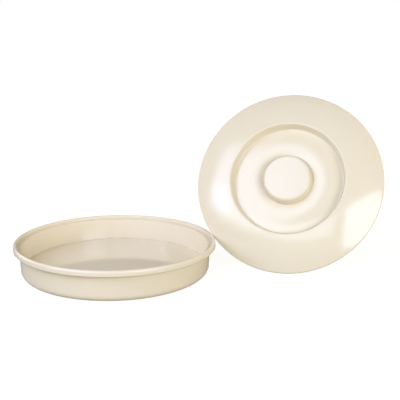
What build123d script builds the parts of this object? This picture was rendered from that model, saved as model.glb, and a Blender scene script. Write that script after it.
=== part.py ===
from build123d import *
import os
from math import cos, hypot, pi, radians, sin, tan

# Tortilla warmer in moulded melamine: a shallow round base and a loose domed lid.
# Millimetres, +Z up. The origin is the centre of the base, on the table.
# The lid is off the base: it stands on its edge on the table to the base's right,
# faces the front (-Y), leans back, and rests one side of its edge by the base's rim.

# ---- Base
base_height = 30.9
rim_radius = 98.0  # to the outside of the rim
rim_overhang = 5.6  # from the wall's outside to the rim's
rim_bead = 5.9  # height of the rim's outer face
rim_width = 3.4  # from the rim's outside to the recess that holds the lid
rim_level = 0.3  # width of the rim's flat top, between its rounded edges
rim_inner_round = 1.0
rim_lip_round = 1.4  # the rim's lower outer edge
rim_root_round = 0.5  # where the rim's underside meets the wall
seat_depth = 2.9  # from the top of the rim down to the ledge that the lid sits on
seat_drop = 1.0  # the ledge slopes down this much towards the stack
seat_round = 0.9  # the ledge's inner edge
wall = 2.1
wall_draft = 2.3  # degrees: the wall narrows towards the table
bottom_round = 6.0
foot_height = 2.6  # the floor's underside stands this far off the table
foot_width = 4.6  # of the ring that the base stands on, inside the bottom's rounding
foot_round = 0.8
floor_thickness = 3.0
floor_round = 1.2

# ---- Lid, in its own frame: its underside at height 0, its axis upwards
lid_clearance = 0.5  # all round, between the lid's edge and the rim
lid_skin = 2.3  # thickness of the moulded shell
lid_edge = 2.6  # height of the outer edge
lid_edge_round = 1.2
lid_land = 2.4  # width of the flat ring that sits on the base's ledge
brim_height = 14.6  # top of the brim, at the edge of the finger well
brim_bulge = 1.4
well_top_radius = 57.2
well_top_round = 1.5
well_taper = 2.4  # the well's wall narrows by this much on its way down
well_foot_height = 4.8
well_foot_round = 1.5
hump_bulge = 1.35  # of the rounded floor between the well's wall and the knob
knob_top_radius = 23.2
knob_flare = 2.0  # the knob's wall widens by this much on its way down
knob_foot_height = 5.8
knob_foot_round = 1.0
knob_height = 14.9
knob_top_round = 2.4
underside_round = 0.8

# ---- How the lid stands
lid_lean = 27.5  # degrees back from upright
lid_behind = 34.8  # its foot stands this far behind the base's centre
rim_gap = 0.3  # left between the lid's edge and the base's rim
edge_samples = 720  # places round the lid's edge where that gap is measured
halvings = 40  # of the distance searched for the place with that gap

# ---- Worked out
rim_round = rim_width - rim_level - rim_inner_round  # the rim's top outer edge
under_rim = base_height - rim_bead
recess_radius = rim_radius - rim_width
seat_height = base_height - seat_depth
seat_edge_height = seat_height - seat_drop
floor_height = foot_height + floor_thickness
draft_slope = tan(radians(wall_draft))
wall_radius = rim_radius - rim_overhang  # just under the rim
wall_foot_radius = wall_radius - under_rim * draft_slope
foot_radius = wall_foot_radius - bottom_round - foot_width
inner_radius = wall_radius - wall
inner_foot_radius = inner_radius - (seat_edge_height - floor_height) * draft_slope
lid_radius = recess_radius - lid_clearance
well_foot_radius = well_top_radius - well_taper
knob_foot_radius = knob_top_radius + knob_flare


def corner(profile, point):
    """The profile's vertex at a point."""
    return profile.vertices().sort_by_distance(point)[0]


def edge_gap(centre, lean):
    """Clear distance from the lid's rounded edge to the outside of the base's rim."""
    gap = rim_radius + lid_radius
    for height in (lid_edge_round, lid_edge - lid_edge_round):
        for step in range(edge_samples):
            turn = 2 * pi * step / edge_samples
            across = (lid_radius - lid_edge_round) * cos(turn)
            up = (lid_radius - lid_edge_round) * sin(turn)
            x = centre.X + across
            y = centre.Y + up * sin(lean) - height * cos(lean)
            z = centre.Z + up * cos(lean) + height * sin(lean)
            above = max(z - (base_height - rim_round), 0)
            beyond = max(hypot(x, y) - (rim_radius - rim_round), 0)
            gap = min(gap, hypot(beyond, above) - rim_round - lid_edge_round)
    return gap


def standing_lid():
    """The lid's frame: its lower edge touches the table and its side is rim_gap off the rim."""
    lean = radians(lid_lean)
    edge_up = (lid_radius - lid_edge_round) * cos(lean) - lid_edge_round * sin(lean)
    height = edge_up + lid_edge_round
    behind = lid_behind + lid_radius * sin(lean)
    near = 0.0
    far = rim_radius + 2 * lid_radius
    for _ in range(halvings):
        middle = (near + far) / 2
        if edge_gap(Vector(middle, behind, height), lean) < rim_gap:
            near = middle
        else:
            far = middle
    return Plane(origin=(far, behind, height), x_dir=(1, 0, 0), z_dir=(0, -cos(lean), sin(lean)))


# ---- Base: one turned shell, rim, seat, wall, floor and foot ring
with BuildPart() as base:
    with BuildSketch(Plane.XZ) as base_profile:
        with BuildLine():
            Polyline(
                (rim_radius, under_rim),
                (wall_radius, under_rim),
                (wall_foot_radius, 0),
                (foot_radius, 0),
                (foot_radius, foot_height),
                (0, foot_height),
                (0, floor_height),
                (inner_foot_radius, floor_height),
                (inner_radius, seat_edge_height),
                (recess_radius, seat_height),
                (recess_radius, base_height),
                (rim_radius, base_height),
                close=True,
            )
        make_face()
        fillet(corner(base_profile, (rim_radius, under_rim)), rim_lip_round)
        fillet(corner(base_profile, (wall_radius, under_rim)), rim_root_round)
        fillet(corner(base_profile, (wall_foot_radius, 0)), bottom_round)
        fillet(corner(base_profile, (foot_radius, 0)), foot_round)
        fillet(corner(base_profile, (inner_foot_radius, floor_height)), floor_round)
        fillet(corner(base_profile, (inner_radius, seat_edge_height)), seat_round)
        fillet(corner(base_profile, (recess_radius, base_height)), rim_inner_round)
        fillet(corner(base_profile, (rim_radius, base_height)), rim_round)
    revolve(axis=Axis.Z)

# ---- Lid: one turned shell, with the knob moulded in and hollow beneath
lid_frame = standing_lid()
lid_section = Plane(origin=lid_frame.origin, x_dir=lid_frame.x_dir, z_dir=-lid_frame.y_dir)

with BuildPart() as lid:
    with BuildSketch(lid_section) as lid_profile:
        with BuildLine():
            # Upper side, from the edge in to the axis
            Line((lid_radius, 0), (lid_radius, lid_edge))
            SagittaArc((lid_radius, lid_edge), (well_top_radius, brim_height), -brim_bulge)
            Line((well_top_radius, brim_height), (well_foot_radius, well_foot_height))
            SagittaArc(
                (well_foot_radius, well_foot_height),
                (knob_foot_radius, knob_foot_height),
                -hump_bulge,
            )
            Polyline(
                (knob_foot_radius, knob_foot_height),
                (knob_top_radius, knob_height),
                (0, knob_height),
                (0, knob_height - lid_skin),
                (knob_top_radius - lid_skin, knob_height - lid_skin),
                (knob_foot_radius - lid_skin, knob_foot_height - lid_skin),
            )
            # Underside, from the knob's hollow back out to the edge
            SagittaArc(
                (knob_foot_radius - lid_skin, knob_foot_height - lid_skin),
                (well_foot_radius + lid_skin, well_foot_height - lid_skin),
                hump_bulge,
            )
            Line(
                (well_foot_radius + lid_skin, well_foot_height - lid_skin),
                (well_top_radius + lid_skin, brim_height - lid_skin),
            )
            SagittaArc(
                (well_top_radius + lid_skin, brim_height - lid_skin),
                (lid_radius - lid_land, 0),
                brim_bulge,
            )
            Line((lid_radius - lid_land, 0), (lid_radius, 0))
        make_face()
        fillet(corner(lid_profile, (lid_radius, 0)), lid_edge_round)
        fillet(corner(lid_profile, (lid_radius, lid_edge)), lid_edge_round)
        fillet(corner(lid_profile, (well_top_radius, brim_height)), well_top_round)
        fillet(corner(lid_profile, (well_foot_radius, well_foot_height)), well_foot_round)
        fillet(corner(lid_profile, (knob_foot_radius, knob_foot_height)), knob_foot_round)
        fillet(corner(lid_profile, (knob_top_radius, knob_height)), knob_top_round)
        for inner_corner in (
            (knob_top_radius - lid_skin, knob_height - lid_skin),
            (knob_foot_radius - lid_skin, knob_foot_height - lid_skin),
            (well_foot_radius + lid_skin, well_foot_height - lid_skin),
            (well_top_radius + lid_skin, brim_height - lid_skin),
        ):
            fillet(corner(lid_profile, inner_corner), underside_round)
    revolve(axis=Axis(lid_frame.origin, lid_frame.z_dir))

# ---- Names and files
base.part.label = "base"
lid.part.label = "lid"

os.makedirs("parts", exist_ok=True)
export_step(base.part, "parts/base.step")
export_step(lid.part, "parts/lid.step")
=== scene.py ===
from collections import namedtuple
from math import asin, cos, exp, pi, radians, sin, tan

import bpy
from mathutils import Matrix, Vector


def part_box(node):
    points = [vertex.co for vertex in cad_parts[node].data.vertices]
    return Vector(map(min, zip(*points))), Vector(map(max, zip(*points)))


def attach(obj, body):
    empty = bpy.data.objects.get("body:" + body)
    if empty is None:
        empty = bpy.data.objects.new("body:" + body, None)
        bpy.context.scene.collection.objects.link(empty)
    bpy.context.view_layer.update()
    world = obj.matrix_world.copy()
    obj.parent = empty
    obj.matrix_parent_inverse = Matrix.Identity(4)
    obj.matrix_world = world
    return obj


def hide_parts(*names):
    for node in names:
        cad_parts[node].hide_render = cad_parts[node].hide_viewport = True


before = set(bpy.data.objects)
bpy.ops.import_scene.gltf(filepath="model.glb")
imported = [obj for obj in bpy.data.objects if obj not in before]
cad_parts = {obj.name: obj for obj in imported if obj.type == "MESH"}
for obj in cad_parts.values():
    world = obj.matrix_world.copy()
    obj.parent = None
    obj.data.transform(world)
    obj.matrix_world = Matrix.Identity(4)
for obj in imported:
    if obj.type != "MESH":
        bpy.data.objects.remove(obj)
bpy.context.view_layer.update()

MM = 0.001

# ---- Sizes, metres: both shells keep to their CAD solids

base_low, base_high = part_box("base")
lid_low, lid_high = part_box("lid")

RIM_RADIUS = (base_high[0] - base_low[0]) / 2
BASE_HEIGHT = base_high[2]
RIM_OVERHANG = 5.6 * MM  # from the wall's outside to the rim's
RIM_BEAD = 5.9 * MM  # height of the rim's outer face
RIM_WIDTH = 3.4 * MM
RIM_ROUND = 2.1 * MM
RIM_INNER_ROUND = 1.0 * MM
RIM_LIP_ROUND = 1.4 * MM
RIM_ROOT_ROUND = 0.5 * MM
SEAT_DEPTH = 2.9 * MM  # from the rim's top to the ledge that the lid sits on
SEAT_DROP = 1.0 * MM
SEAT_ROUND = 0.9 * MM
WALL_RADIUS = RIM_RADIUS - RIM_OVERHANG
WALL = 2.1 * MM
WALL_DRAFT = radians(2.3)
BOTTOM_ROUND = 6.0 * MM
FOOT_HEIGHT = 2.6 * MM
FOOT_WIDTH = 4.6 * MM
FOOT_ROUND = 0.8 * MM
FLOOR_THICKNESS = 3.0 * MM
FLOOR_ROUND = 1.2 * MM

LID_RADIUS = (lid_high[0] - lid_low[0]) / 2
LID_SKIN = 2.3 * MM
LID_EDGE = 2.6 * MM
LID_EDGE_ROUND = 1.2 * MM
LID_LAND = 2.4 * MM
BRIM_HEIGHT = 14.6 * MM
BRIM_BULGE = 1.4 * MM
WELL_TOP_RADIUS = 57.2 * MM
WELL_TOP_ROUND = 1.5 * MM
WELL_FOOT_RADIUS = 54.8 * MM
WELL_FOOT_HEIGHT = 4.8 * MM
WELL_FOOT_ROUND = 1.5 * MM
HUMP_BULGE = 1.35 * MM
KNOB_FOOT_RADIUS = 25.2 * MM
KNOB_FOOT_HEIGHT = 5.8 * MM
KNOB_FOOT_ROUND = 1.0 * MM
KNOB_TOP_RADIUS = 23.2 * MM
KNOB_HEIGHT = 14.9 * MM
KNOB_TOP_ROUND = 2.4 * MM
UNDERSIDE_ROUND = 0.8 * MM
LID_LEAN = radians(27.5)
SHARP_ROUND = 0.3 * MM  # for corners that the CAD leaves sharp
FOOT_INSIDE_ROUND = 0.4 * MM

STEPS_AROUND = 256
STEPS_ROUND = 10  # along each rounded corner
STEPS_BOWED = 24  # along each bowed run
SUPPORTS = (0.25 * MM, 0.9 * MM, 2.2 * MM)  # extra points this far from a straight run's ends
CREASE_REACH = 1.1 * MM  # how far the painted shade spreads from a sharp crease
CREASE_SPREAD = 0.4  # and this much of the crease's rounding further
WELD = 1e-6  # points closer together than this are one


# ---- Outlines

# A corner's bulge is that of the run that leads to it. A wear below 0 marks a crease, where
# shade is painted into the colour instead of wear.
Corner = namedtuple("Corner", "radius height rounding wear bulge")


def bowed_run(start, end, bulge):
    """Points from start to end, along an arc that bows left by bulge or along the straight run."""
    along = (end - start).normalized()
    if not bulge:
        fitting = [distance for distance in SUPPORTS if 2 * distance < (end - start).length]
        near_start = [start + along * distance for distance in fitting]
        near_end = [end - along * distance for distance in reversed(fitting)]
        return [start] + near_start + near_end + [end]
    side = Vector((-along.y, along.x))
    half = (end - start).length / 2
    radius = (half * half + bulge * bulge) / (2 * bulge)
    centre = (start + end) / 2 + side * (bulge - radius)
    reach = asin(half / radius)
    points = []
    for step in range(STEPS_BOWED + 1):
        turn = reach * (2 * step / STEPS_BOWED - 1)
        points.append(centre + side * (radius * cos(turn)) + along * (radius * sin(turn)))
    return points


def shortened(points, distance):
    """The points of a run with its last stretch cut off."""
    kept = list(points)
    while distance > 0:
        last = kept[-1] - kept[-2]
        if last.length > distance + WELD:
            kept[-1] = kept[-1] - last.normalized() * distance
            return kept
        distance -= last.length
        kept.pop()
    return kept


def rounded_corner(before, after, turn, rounding):
    """Points of the rounding between two runs, without the ends that it shares with them."""
    start, end = before[-1], after[0]
    arrive = (before[-1] - before[-2]).normalized()
    leave = (after[1] - after[0]).normalized()
    hold = 4 / 3 * tan(turn / 4) * rounding  # makes the cubic below follow the arc
    points = []
    for step in range(1, STEPS_ROUND):
        t = step / STEPS_ROUND
        u = 1 - t
        points.append(
            start * u**3
            + (start + arrive * hold) * (3 * u * u * t)
            + (end - leave * hold) * (3 * u * t * t)
            + end * t**3
        )
    return points


def crease_shade_at(radius, height, corners):
    """How much shade is painted at a point: most in a creased corner, dying away from it."""
    most = 0.0
    for corner in corners:
        if corner.wear < 0:
            reach = CREASE_REACH + CREASE_SPREAD * corner.rounding
            away = (Vector((radius, height)) - Vector((corner.radius, corner.height))).length
            most = max(most, -corner.wear * exp(-((away / reach) ** 2)))
    return most


def outline_points(corners):
    """The rounded outline as (radius, height, wear, crease) points, from rows of Corner values."""
    corners = [Corner(*corner) for corner in corners]
    places = [Vector((corner.radius, corner.height)) for corner in corners]
    runs = [bowed_run(a, b, corner.bulge) for a, b, corner in zip(places, places[1:], corners[1:])]
    cuts = [0.0]
    turns = [0.0]
    for before, after, corner in zip(runs, runs[1:], corners[1:]):
        arrive = before[-1] - before[-2]
        leave = after[1] - after[0]
        turns.append(arrive.angle(leave))
        cuts.append(corner.rounding * tan(turns[-1] / 2))
    cuts.append(0.0)
    trimmed = []
    for index, run in enumerate(runs):
        cut = shortened(run, cuts[index + 1])
        cut.reverse()
        cut = shortened(cut, cuts[index])
        cut.reverse()
        if not corners[index + 1].bulge:
            cut = bowed_run(cut[0], cut[-1], 0)
        trimmed.append(cut)
    outline = [(point.x, point.y, 0.0) for point in trimmed[0]]
    for before, after, corner, turn in zip(trimmed, trimmed[1:], corners[1:], turns[1:]):
        if corner.rounding:
            wear = max(corner.wear, 0)
            rounding = rounded_corner(before, after, turn, corner.rounding)
            for step, point in enumerate(rounding, start=1):
                outline.append((point.x, point.y, wear * sin(pi * step / STEPS_ROUND)))
        outline += [(point.x, point.y, 0.0) for point in after]
    return [
        (radius, height, wear, crease_shade_at(radius, height, corners))
        for radius, height, wear in outline
    ]


def base_outline():
    """From the underside's centre out, up the wall, over the rim and down to the floor's centre."""
    under_rim = BASE_HEIGHT - RIM_BEAD
    seat = BASE_HEIGHT - SEAT_DEPTH
    seat_edge = seat - SEAT_DROP
    floor = FOOT_HEIGHT + FLOOR_THICKNESS
    slope = tan(WALL_DRAFT)
    inner = WALL_RADIUS - WALL
    recess = RIM_RADIUS - RIM_WIDTH
    wall_foot = WALL_RADIUS - under_rim * slope
    foot = wall_foot - BOTTOM_ROUND - FOOT_WIDTH
    # Fourth column: edge wear above 0, painted shade in that crease below 0
    return outline_points([
        (0, FOOT_HEIGHT, 0, 0, 0),
        (foot, FOOT_HEIGHT, FOOT_INSIDE_ROUND, -0.6, 0),
        (foot, 0, FOOT_ROUND, 0.8, 0),
        (wall_foot, 0, BOTTOM_ROUND, 0.5, 0),
        (WALL_RADIUS, under_rim, RIM_ROOT_ROUND, -1.5, 0),
        (RIM_RADIUS, under_rim, RIM_LIP_ROUND, 0.6, 0),
        (RIM_RADIUS, BASE_HEIGHT, RIM_ROUND, 1.0, 0),
        (recess, BASE_HEIGHT, RIM_INNER_ROUND, 0.8, 0),
        (recess, seat, SHARP_ROUND, -0.3, 0),
        (inner, seat_edge, SEAT_ROUND, 0.8, 0),
        (inner - (seat_edge - floor) * slope, floor, FLOOR_ROUND, -0.6, 0),
        (0, floor, 0, 0, 0),
    ])


def lid_outline():
    """From the underside's centre out to the edge and back over the brim, well, hump and knob."""
    knob_top_inside = KNOB_TOP_RADIUS - LID_SKIN
    knob_foot_inside = KNOB_FOOT_RADIUS - LID_SKIN
    well_foot_under = WELL_FOOT_RADIUS + LID_SKIN
    well_top_under = WELL_TOP_RADIUS + LID_SKIN
    # Fourth column: edge wear above 0, painted shade in that crease below 0
    return outline_points([
        (0, KNOB_HEIGHT - LID_SKIN, 0, 0, 0),
        (knob_top_inside, KNOB_HEIGHT - LID_SKIN, UNDERSIDE_ROUND, -0.6, 0),
        (knob_foot_inside, KNOB_FOOT_HEIGHT - LID_SKIN, UNDERSIDE_ROUND, 0.3, 0),
        (well_foot_under, WELL_FOOT_HEIGHT - LID_SKIN, UNDERSIDE_ROUND, 0.5, HUMP_BULGE),
        (well_top_under, BRIM_HEIGHT - LID_SKIN, UNDERSIDE_ROUND, -0.6, 0),
        (LID_RADIUS - LID_LAND, 0, SHARP_ROUND, 0.4, BRIM_BULGE),
        (LID_RADIUS, 0, LID_EDGE_ROUND, 1.0, 0),
        (LID_RADIUS, LID_EDGE, LID_EDGE_ROUND, 1.0, 0),
        (WELL_TOP_RADIUS, BRIM_HEIGHT, WELL_TOP_ROUND, 0.5, -BRIM_BULGE),
        (WELL_FOOT_RADIUS, WELL_FOOT_HEIGHT, WELL_FOOT_ROUND, -0.25, 0),
        (KNOB_FOOT_RADIUS, KNOB_FOOT_HEIGHT, KNOB_FOOT_ROUND, -0.75, -HUMP_BULGE),
        (KNOB_TOP_RADIUS, KNOB_HEIGHT, KNOB_TOP_ROUND, 0.7, 0),
        (0, KNOB_HEIGHT, 0, 0, 0),
    ])


# ---- Nodes

def math_node(tree, operation, *values):
    """The result of one sum, where each value is a number or another node's result."""
    node = tree.nodes.new("ShaderNodeMath")
    node.operation = operation
    for socket, value in zip(node.inputs, values):
        if isinstance(value, (int, float)):
            socket.default_value = value
        else:
            tree.links.new(value, socket)
    return node.outputs[0]


def range_node(tree, value, low, high, to_low, to_high, interpolation="LINEAR"):
    """A value moved from one range to another and kept inside it."""
    node = tree.nodes.new("ShaderNodeMapRange")
    node.interpolation_type = interpolation
    node.inputs["From Min"].default_value = low
    node.inputs["From Max"].default_value = high
    node.inputs["To Min"].default_value = to_low
    node.inputs["To Max"].default_value = to_high
    tree.links.new(value, node.inputs["Value"])
    return node.outputs[0]


# ---- Turned shells

def turned_shell_tree():
    """A tree that turns an outline, a chain of points in XZ, about Z into a closed shell.

    The finished points keep "wear", "crease", which is how much shade is painted there, and,
    as "upright", their place before any tilt.
    """
    tree = bpy.data.node_groups.new("Turned shell", "GeometryNodeTree")
    face = tree.interface
    face.new_socket("Outline", in_out="INPUT", socket_type="NodeSocketGeometry")
    steps = face.new_socket("Steps Around", in_out="INPUT", socket_type="NodeSocketInt")
    steps.default_value = STEPS_AROUND
    face.new_socket("Finish", in_out="INPUT", socket_type="NodeSocketMaterial")
    face.new_socket("Shell", in_out="OUTPUT", socket_type="NodeSocketGeometry")
    nodes, link = tree.nodes, tree.links.new

    def math(operation, *values):
        return math_node(tree, operation, *values)

    def sampled(kind, value, row):
        node = nodes.new("GeometryNodeSampleIndex")
        node.data_type = kind
        node.domain = "POINT"
        link(given.outputs["Outline"], node.inputs["Geometry"])
        link(value, node.inputs["Value"])
        link(row, node.inputs["Index"])
        return node.outputs[0]

    def stored(geometry, kind, name, value):
        node = nodes.new("GeometryNodeStoreNamedAttribute")
        node.data_type = kind
        node.domain = "POINT"
        node.inputs["Name"].default_value = name
        link(geometry, node.inputs["Geometry"])
        link(value, node.inputs["Value"])
        return node.outputs[0]

    given = nodes.new("NodeGroupInput")
    count = nodes.new("GeometryNodeAttributeDomainSize")
    link(given.outputs["Outline"], count.inputs[0])
    columns = math("ADD", given.outputs["Steps Around"], 1)
    grid = nodes.new("GeometryNodeMeshGrid")
    link(count.outputs["Point Count"], grid.inputs["Vertices X"])
    link(columns, grid.inputs["Vertices Y"])

    index = nodes.new("GeometryNodeInputIndex").outputs[0]
    row = math("FLOOR", math("DIVIDE", math("ADD", index, 0.5), columns))
    column = math("SUBTRACT", index, math("MULTIPLY", row, columns))
    around = math("MODULO", column, given.outputs["Steps Around"])
    angle = math("MULTIPLY", math("DIVIDE", around, given.outputs["Steps Around"]), 2 * pi)
    turn = nodes.new("ShaderNodeVectorRotate")
    turn.rotation_type = "Z_AXIS"
    place = nodes.new("GeometryNodeInputPosition")
    link(sampled("FLOAT_VECTOR", place.outputs[0], row), turn.inputs["Vector"])
    link(angle, turn.inputs["Angle"])
    set_place = nodes.new("GeometryNodeSetPosition")
    link(grid.outputs["Mesh"], set_place.inputs["Geometry"])
    link(turn.outputs[0], set_place.inputs["Position"])
    shell = set_place.outputs[0]
    for name in ("wear", "crease"):
        along_outline = nodes.new("GeometryNodeInputNamedAttribute")
        along_outline.data_type = "FLOAT"
        along_outline.inputs["Name"].default_value = name
        shell = stored(shell, "FLOAT", name, sampled("FLOAT", along_outline.outputs[0], row))
    shell = stored(shell, "FLOAT_VECTOR", "upright", place.outputs[0])
    merge = nodes.new("GeometryNodeMergeByDistance")
    merge.inputs["Distance"].default_value = WELD
    link(shell, merge.inputs["Geometry"])
    outward = nodes.new("GeometryNodeFlipFaces")
    link(merge.outputs[0], outward.inputs["Mesh"])
    smooth = nodes.new("GeometryNodeSetShadeSmooth")
    link(outward.outputs[0], smooth.inputs["Geometry"])
    realize = nodes.new("GeometryNodeRealizeInstances")
    link(smooth.outputs[0], realize.inputs[0])
    finish = nodes.new("GeometryNodeSetMaterial")
    link(realize.outputs[0], finish.inputs["Geometry"])
    link(given.outputs["Finish"], finish.inputs["Material"])
    out = nodes.new("NodeGroupOutput")
    link(finish.outputs[0], out.inputs["Shell"])
    return tree


def turned_shell(name, tree, outline, finish, placed=Matrix()):
    """A closed shell turned from an outline, with its place in its mesh."""
    mesh = bpy.data.meshes.new(name + "_outline")
    points = [(radius, 0, height) for radius, height, _, _ in outline]
    mesh.from_pydata(points, [(i, i + 1) for i in range(len(points) - 1)], [])
    for attribute, column in (("wear", 2), ("crease", 3)):
        values = mesh.attributes.new(attribute, "FLOAT", "POINT").data
        values.foreach_set("value", [point[column] for point in outline])
    shell = bpy.data.objects.new(name, mesh)
    bpy.context.collection.objects.link(shell)
    turn = shell.modifiers.new("Turned shell", "NODES")
    turn.node_group = tree
    sockets = {item.name: item.identifier for item in tree.interface.items_tree}
    turn[sockets["Steps Around"]] = STEPS_AROUND
    turn[sockets["Finish"]] = finish
    seen = shell.evaluated_get(bpy.context.evaluated_depsgraph_get())
    made = bpy.data.meshes.new_from_object(seen)
    shell.modifiers.remove(turn)
    made.transform(placed)
    shell.data = made
    return shell


def standing_lid_place():
    """Where the lid's own frame stands: on its lower edge, leaning back."""
    out = LID_RADIUS - LID_EDGE_ROUND
    height = out * cos(LID_LEAN) - LID_EDGE_ROUND * sin(LID_LEAN) + LID_EDGE_ROUND
    behind = lid_high[1] - (out * sin(LID_LEAN) - LID_EDGE_ROUND * cos(LID_LEAN) + LID_EDGE_ROUND)
    centre = Vector(((lid_low[0] + lid_high[0]) / 2, behind, height))
    return Matrix.Translation(centre) @ Matrix.Rotation(pi / 2 - LID_LEAN, 4, "X")


# ---- Finish

BASE_IVORY = ((0.858, 0.769, 0.582), (0.882, 0.798, 0.616))
LID_IVORY = ((0.846, 0.761, 0.562), (0.871, 0.791, 0.597))
FLECK_AND_PAINTED_SHADE = (0.50, 0.36, 0.17)  # where flecks and the painted crease shade take the tone to its lowest
PALE_SHADE = (0.97, 0.92, 0.80)
TONE_REACH = 6  # the tone runs from minus this to plus this over the whole ramp
DRIFT_PLACES = (0.42, 0.58)  # on the ramp, for the two ends of the slow drift
MELAMINE_IOR = 1.62

# How far each effect moves the tone
DRIFT_SHARE = 0.6
CLOUD_SHARE = 0.4
FLECK_TONE = 6
# Painted shade in the creases darkens the tone this much
PAINTED_CREASE_SHADE_TONE = 4.0

# Roughness that each effect adds
SMUDGE_ROUGHNESS = 0.035
HAIRLINE_ROUGHNESS = 0.22
RUB_ROUGHNESS = 0.2

# Relief, millimetres
PEEL_HEIGHT = 0.010
SWELL_HEIGHT = 0.055
HAIRLINE_DEPTH = 0.006
RUB_DEPTH = 0.004

# Noises: scale, detail, roughness
DRIFT_NOISE = (11, 3, 0.5)
CLOUD_NOISE = (60, 4, 0.6)
# The next noise makes the painted crease shade patchy
PAINTED_CREASE_SHADE_NOISE = (130, 3, 0.5)
SMUDGE_NOISE = (26, 5, 0.65)
RUB_NOISE = (240, 4, 0.7)
PEEL_NOISE = (190, 2, 0.5)
SWELL_NOISE = (38, 1, 0.5)

# Where in its noise an effect starts, and where it is full
FULL_SPREAD = (0.3, 0.7)
SMUDGE_SPREAD = (0.42, 0.75)
RUB_SPREAD = (0.3, 0.65)
BREAK_SPREAD = (0.5, 0.62)

PAINTED_CREASE_SHADE_PATCHES = (0.75, 1.15)  # strength of the painted crease shade's weakest and strongest patches
RUB_PATCHES = (0.25, 1)
FLECK_SCALE = 170
FLECK_SIZE = (0.03, 0.06)  # of a cell: solid within the first, gone beyond the second
FLECK_RARITY = (0.93, 0.94)  # only cells whose random shade is above this carry one

HAIRLINE_SETS = ((0.4, 420, 0.035), (1.5, 380, 0.03), (2.6, 450, 0.035))  # turn, scale, width
HAIRLINE_TILT = 0.3  # about X, as a share of the turn
HAIRLINE_LEAN = 0.2  # about Y
HAIRLINE_LENGTH = 40  # a scratch is this many times as long as the gap to the next
HAIRLINE_SPAN = 3  # and this many times as deep
BREAK_SCALE, BREAK_DETAIL = 55, 2  # of the noise that breaks them up
BREAK_SHIFT = 9  # added to that scale for each radian of turn, so no two sets break alike


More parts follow.
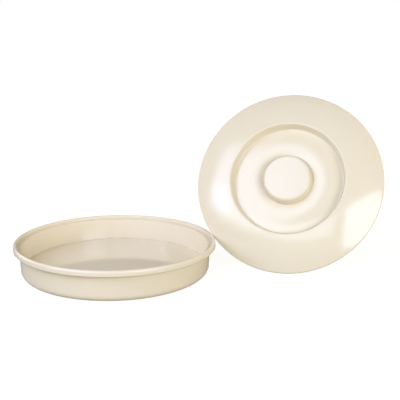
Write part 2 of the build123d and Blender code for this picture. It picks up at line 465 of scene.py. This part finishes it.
def melamine_skin():
    """What every moulded melamine surface here shares, worked out in a piece's own upright place.

    Tone drifts slowly and carries the odd fleck and the shade painted into creases, Gloss is the
    roughness and Relief is the height for the bump.
    """
    group = bpy.data.node_groups.new("Melamine skin", "ShaderNodeTree")
    face = group.interface
    for name, kind, value in (
        ("Place", "NodeSocketVector", (0, 0, 0)),
        ("Edge Wear", "NodeSocketFloat", 0),
        # how much shade is painted into a crease
        ("Painted Crease Shade", "NodeSocketFloat", 0),
        ("Use", "NodeSocketFloat", 0.5),
        ("Polish", "NodeSocketFloat", 0.15),
    ):
        face.new_socket(name, in_out="INPUT", socket_type=kind).default_value = value
    for name in ("Tone", "Gloss", "Relief"):
        face.new_socket(name, in_out="OUTPUT", socket_type="NodeSocketFloat")
    nodes, link = group.nodes, group.links.new
    given = nodes.new("NodeGroupInput")
    out = nodes.new("NodeGroupOutput")

    def math(operation, *values):
        return math_node(group, operation, *values)

    def span(value, low, high, to_low, to_high):
        return range_node(group, value, low, high, to_low, to_high)

    def noise(scale, detail, rough):
        node = nodes.new("ShaderNodeTexNoise")
        node.inputs["Scale"].default_value = scale
        node.inputs["Detail"].default_value = detail
        node.inputs["Roughness"].default_value = rough
        link(given.outputs["Place"], node.inputs["Vector"])
        return node.outputs[0]

    def hairlines(turn, scale, width):
        """Thin straight scratches, broken up, that run one way."""
        aim = nodes.new("ShaderNodeMapping")
        aim.inputs["Rotation"].default_value = (HAIRLINE_TILT * turn, HAIRLINE_LEAN, turn)
        stretch = (scale, scale / HAIRLINE_LENGTH, scale / HAIRLINE_SPAN)
        aim.inputs["Scale"].default_value = stretch
        link(given.outputs["Place"], aim.inputs["Vector"])
        cells = nodes.new("ShaderNodeTexVoronoi")
        cells.feature = "DISTANCE_TO_EDGE"
        cells.inputs["Scale"].default_value = 1
        link(aim.outputs[0], cells.inputs["Vector"])
        lines = span(cells.outputs["Distance"], 0, width, 1, 0)
        breaks = noise(BREAK_SCALE + BREAK_SHIFT * turn, BREAK_DETAIL, 0.5)
        return math("MULTIPLY", lines, span(breaks, *BREAK_SPREAD, 0, 1))

    slow = span(noise(*DRIFT_NOISE), *FULL_SPREAD, -1, 1)
    cloud = span(noise(*CLOUD_NOISE), *FULL_SPREAD, -1, 1)
    grain = nodes.new("ShaderNodeTexVoronoi")
    grain.inputs["Scale"].default_value = FLECK_SCALE
    link(given.outputs["Place"], grain.inputs["Vector"])
    rare = nodes.new("ShaderNodeSeparateColor")
    link(grain.outputs["Color"], rare.inputs[0])
    fleck = math(
        "MULTIPLY",
        span(grain.outputs["Distance"], *FLECK_SIZE, 1, 0),
        span(rare.outputs[0], *FLECK_RARITY, 0, 1),
    )
    tone = math("ADD", math("MULTIPLY", slow, DRIFT_SHARE), math("MULTIPLY", cloud, CLOUD_SHARE))
    tone = math("SUBTRACT", tone, math("MULTIPLY", fleck, FLECK_TONE))
    # The painted crease shade, in patches, darkens the tone
    patchy = span(noise(*PAINTED_CREASE_SHADE_NOISE), *FULL_SPREAD, *PAINTED_CREASE_SHADE_PATCHES)
    painted_crease_shade = math("MULTIPLY", given.outputs["Painted Crease Shade"], patchy)
    link(math("SUBTRACT", tone, math("MULTIPLY", painted_crease_shade, PAINTED_CREASE_SHADE_TONE)), out.inputs["Tone"])

    sets = [hairlines(*one_set) for one_set in HAIRLINE_SETS]
    scratches = math("MAXIMUM", math("MAXIMUM", sets[0], sets[1]), sets[2])
    used = math("MULTIPLY", scratches, given.outputs["Use"])
    smudge = span(noise(*SMUDGE_NOISE), *SMUDGE_SPREAD, 0, 1)
    uneven = span(noise(*RUB_NOISE), *RUB_SPREAD, *RUB_PATCHES)
    rub = math("MULTIPLY", given.outputs["Edge Wear"], uneven)
    gloss = math("ADD", given.outputs["Polish"], math("MULTIPLY", smudge, SMUDGE_ROUGHNESS))
    gloss = math("ADD", gloss, math("MULTIPLY", used, HAIRLINE_ROUGHNESS))
    gloss = math("ADD", gloss, math("MULTIPLY", rub, RUB_ROUGHNESS))
    link(gloss, out.inputs["Gloss"])

    peel = math("MULTIPLY", noise(*PEEL_NOISE), PEEL_HEIGHT)
    swell = math("MULTIPLY", noise(*SWELL_NOISE), SWELL_HEIGHT)
    relief = math("ADD", peel, swell)
    relief = math("SUBTRACT", relief, math("MULTIPLY", used, HAIRLINE_DEPTH))
    relief = math("SUBTRACT", relief, math("MULTIPLY", rub, RUB_DEPTH))
    link(relief, out.inputs["Relief"])
    return group


def melamine(name, skin, use, polish, ivory):
    """Glossy melamine, its ivory given as the darker and the lighter end of the slow drift."""
    material = bpy.data.materials.new(name)
    material.use_nodes = True
    tree = material.node_tree
    nodes, link = tree.nodes, tree.links.new
    shader = nodes["Principled BSDF"]
    shader.inputs["IOR"].default_value = MELAMINE_IOR
    place = nodes.new("ShaderNodeAttribute")
    place.attribute_name = "upright"
    surface = nodes.new("ShaderNodeGroup")
    surface.node_tree = skin
    surface.inputs["Use"].default_value = use
    surface.inputs["Polish"].default_value = polish
    link(place.outputs["Vector"], surface.inputs["Place"])
    # crease carries how much shade is painted into the creases
    for attribute, socket in (("wear", "Edge Wear"), ("crease", "Painted Crease Shade")):
        along_outline = nodes.new("ShaderNodeAttribute")
        along_outline.attribute_name = attribute
        link(along_outline.outputs["Fac"], surface.inputs[socket])
    colour = nodes.new("ShaderNodeValToRGB")
    ramp = colour.color_ramp
    ramp.elements[0].position = 0.0
    ramp.elements[0].color = (*FLECK_AND_PAINTED_SHADE, 1)
    ramp.elements[1].position = 1.0
    ramp.elements[1].color = (*PALE_SHADE, 1)
    for position, value in zip(DRIFT_PLACES, ivory):
        ramp.elements.new(position).color = (*value, 1)
    shade = range_node(tree, surface.outputs["Tone"], -TONE_REACH, TONE_REACH, 0, 1)
    link(shade, colour.inputs[0])
    link(colour.outputs[0], shader.inputs["Base Color"])
    link(surface.outputs["Gloss"], shader.inputs["Roughness"])
    bump = nodes.new("ShaderNodeBump")
    bump.inputs["Strength"].default_value = 1.0
    bump.inputs["Distance"].default_value = MM
    link(surface.outputs["Relief"], bump.inputs["Height"])
    link(bump.outputs[0], shader.inputs["Normal"])
    return material


# ---- Camera, light and table

CAMERA_PLACE = Vector((249.4, -598.5, 218.3)) * MM
CAMERA_HEADING = radians(-15.33)  # from straight ahead along +Y, to the left
CAMERA_PITCH = radians(-12.9)
CAMERA_ROLL = radians(0.54)
SENSOR_WIDTH = 36
LENS_TO_FRAME = 1.7  # the lens is this many times as long as the sensor is wide

SET_MIDDLE = (0.07, 0, 0.05)
SURROUND_LIGHT = 0.31
SURROUND_TINT = (1.0, 0.81, 0.44)
GLOSS_SHARE = 0.15  # how bright gloss shows the white surround
TABLE_REACH = 6  # metres, each way
TABLE_BOUNCE = (0.47, 0.43, 0.29)  # the table's colour for the light that it throws back
SHADOW_SHARE = 0.3  # of the table's look that takes shadows; the rest is plain white
WHITE_NEAR, WHITE_FAR = 0.84, 1.0  # that plain white's strength, by the set and well away from it
NEAR, FAR = 0.25, 0.9  # from the base's centre, for those two strengths

# Name, place, width, height, fade, glow, tint
SOFTBOXES = (
    ("left_softbox", (-0.48, -0.82, 0.80), 1.37, 1.14, 0.31, 2.62, (0.86, 0.985, 1.45)),
    ("left_core", (-0.70, -0.70, 0.56), 0.66, 0.60, 0.24, 1.5, (0.82, 1.0, 1.72)),
    ("left_low", (-0.50, -0.99, 0.42), 0.90, 0.35, 0.105, 1.1, (0.94, 1.01, 0.90)),
    ("mid_low", (0.22, -1.10, 0.48), 0.80, 0.44, 0.12, 1.95, (0.98, 1.02, 1.30)),
    ("right_softbox", (0.84, -0.64, 0.32), 0.70, 0.68, 0.13, 4.3, (0.93, 1.0, 1.24)),
    ("left_fill", (-1.10, 0.25, 0.50), 0.7, 0.7, 0.10, 1.5, (1.02, 0.97, 0.90)),
    ("right_fill", (1.23, 0.40, 0.27), 0.7, 0.5, 0.10, 2.0, (1.10, 1.03, 0.62)),
    ("right_low", (1.22, -0.40, 0.13), 0.8, 0.22, 0.08, 1.9, (1.08, 1.03, 0.70)),
    ("front_fill", (0.15, -1.20, 0.20), 1.4, 0.34, 0.16, 0.6, (1.14, 1.03, 0.45)),
    ("back_right", (0.71, 0.91, 0.40), 1.0, 0.6, 0.10, 1.3, (1, 1, 1)),
    ("back_left", (-0.90, 0.55, 0.80), 0.8, 0.7, 0.10, 1.4, (1, 1, 1)),
)


def front_camera():
    """Looks at the set from the front, a little from the right and above."""
    heading, pitch, roll = CAMERA_HEADING, CAMERA_PITCH, CAMERA_ROLL
    forward = Vector((sin(heading) * cos(pitch), cos(heading) * cos(pitch), sin(pitch)))
    level = Vector((cos(heading), -sin(heading), 0))
    above = level.cross(forward)
    right = level * cos(roll) + above * sin(roll)
    up = above * cos(roll) - level * sin(roll)
    turned = Matrix((right, up, -forward)).transposed().to_4x4()
    data = bpy.data.cameras.new("camera")
    data.sensor_width = SENSOR_WIDTH
    data.lens = LENS_TO_FRAME * SENSOR_WIDTH
    data.clip_start = 0.01
    camera = bpy.data.objects.new("camera", data)
    camera.matrix_world = Matrix.Translation(CAMERA_PLACE) @ turned
    bpy.context.collection.objects.link(camera)
    bpy.context.scene.camera = camera


def softbox(name, place, width, height, fade, glow, tint):
    """A rectangular lamp that faces the set.

    Glow is how bright its face looks, and fade the width of the edge band where that dies away.
    """
    data = bpy.data.lights.new(name, "AREA")
    data.shape = "RECTANGLE"
    data.size, data.size_y = width, height
    data.energy = glow * pi * width * height
    data.color = tint
    data.use_nodes = True
    tree = data.node_tree
    on_face = tree.nodes.new("ShaderNodeSeparateXYZ")
    parametric = tree.nodes.new("ShaderNodeNewGeometry").outputs["Parametric"]
    tree.links.new(parametric, on_face.inputs[0])
    bands = []
    for axis, length in (("X", width), ("Y", height)):
        from_middle = math_node(tree, "SUBTRACT", on_face.outputs[axis], 0.5)
        either_side = math_node(tree, "ABSOLUTE", from_middle)
        inner = 0.5 - fade / length
        bands.append(range_node(tree, either_side, 0.5, inner, 0, 1, "SMOOTHSTEP"))
    strength = math_node(tree, "MULTIPLY", *bands)
    tree.links.new(strength, tree.nodes["Emission"].inputs["Strength"])
    lamp = bpy.data.objects.new(name, data)
    lamp.location = place
    lamp.rotation_euler = (Vector(SET_MIDDLE) - Vector(place)).to_track_quat("-Z", "Y").to_euler()
    bpy.context.collection.objects.link(lamp)


def sees_white(tree):
    """Which rays see the surround as plain white, and how bright.

    Gloss sees it dimmer, and it gives the set no light.
    """
    path = tree.nodes.new("ShaderNodeLightPath").outputs
    straight = math_node(tree, "MAXIMUM", path["Is Camera Ray"], path["Is Transmission Ray"])
    gloss = math_node(tree, "MULTIPLY", path["Is Glossy Ray"], GLOSS_SHARE)
    seen = math_node(tree, "MAXIMUM", straight, path["Is Glossy Ray"])
    return seen, math_node(tree, "MAXIMUM", straight, gloss)


def mixed(tree, share, first, second, out):
    """Shows the first shader, or the second by its share."""
    mix = tree.nodes.new("ShaderNodeMixShader")
    for socket, value in zip(mix.inputs, (share, first, second)):
        tree.links.new(value, socket)
    tree.links.new(mix.outputs[0], tree.nodes[out].inputs["Surface"])


def white_surround():
    """A surround that looks white and lights the set only a little."""
    world = bpy.data.worlds.new("surround")
    world.use_nodes = True
    tree = world.node_tree
    lighting = tree.nodes["Background"]
    lighting.inputs["Color"].default_value = (*SURROUND_TINT, 1)
    lighting.inputs["Strength"].default_value = SURROUND_LIGHT
    white = tree.nodes.new("ShaderNodeBackground")
    white.inputs["Color"].default_value = (1, 1, 1, 1)
    seen, brightness = sees_white(tree)
    tree.links.new(brightness, white.inputs["Strength"])
    mixed(tree, seen, lighting.outputs[0], white.outputs[0], "World Output")
    bpy.context.scene.world = world


def table():
    """A pale table top, as wide as the surround."""
    mesh = bpy.data.meshes.new("table")
    reach = TABLE_REACH
    corners = [(-reach, -reach, 0), (reach, -reach, 0), (reach, reach, 0), (-reach, reach, 0)]
    mesh.from_pydata(corners, [], [(0, 1, 2, 3)])
    top = bpy.data.objects.new("table", mesh)
    bpy.context.collection.objects.link(top)
    material = bpy.data.materials.new("pale_table")
    material.use_nodes = True
    tree = material.node_tree
    nodes, link = tree.nodes, tree.links.new
    nodes.remove(nodes["Principled BSDF"])
    matte = nodes.new("ShaderNodeBsdfDiffuse")
    matte.inputs["Color"].default_value = (*TABLE_BOUNCE, 1)
    faint = nodes.new("ShaderNodeBsdfDiffuse")
    faint.inputs["Color"].default_value = (SHADOW_SHARE, SHADOW_SHARE, SHADOW_SHARE, 1)
    from_set = nodes.new("ShaderNodeVectorMath")
    from_set.operation = "LENGTH"
    link(nodes.new("ShaderNodeTexCoord").outputs["Object"], from_set.inputs[0])
    glow = range_node(tree, from_set.outputs["Value"], NEAR, FAR, WHITE_NEAR, WHITE_FAR)
    seen, brightness = sees_white(tree)
    white = nodes.new("ShaderNodeEmission")
    link(math_node(tree, "MULTIPLY", glow, brightness), white.inputs["Strength"])
    lit = nodes.new("ShaderNodeAddShader")
    link(faint.outputs[0], lit.inputs[0])
    link(white.outputs[0], lit.inputs[1])
    mixed(tree, seen, matte.outputs[0], lit.outputs[0], "Material Output")
    mesh.materials.append(material)


# ---- The set

bpy.context.scene.view_settings.view_transform = "Standard"
tree = turned_shell_tree()
skin = melamine_skin()
base_ivory = melamine("base_ivory", skin, use=0.3, polish=0.07, ivory=BASE_IVORY)
base_shell = turned_shell("base_shell", tree, base_outline(), base_ivory)
lid_ivory = melamine("lid_ivory", skin, use=0.2, polish=0.09, ivory=LID_IVORY)
lid_shell = turned_shell("lid_shell", tree, lid_outline(), lid_ivory, standing_lid_place())
for shell, node in ((base_shell, "base"), (lid_shell, "lid")):
    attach(shell, node)
    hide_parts(node)

front_camera()
white_surround()
table()
for lamp in SOFTBOXES:
    softbox(*lamp)
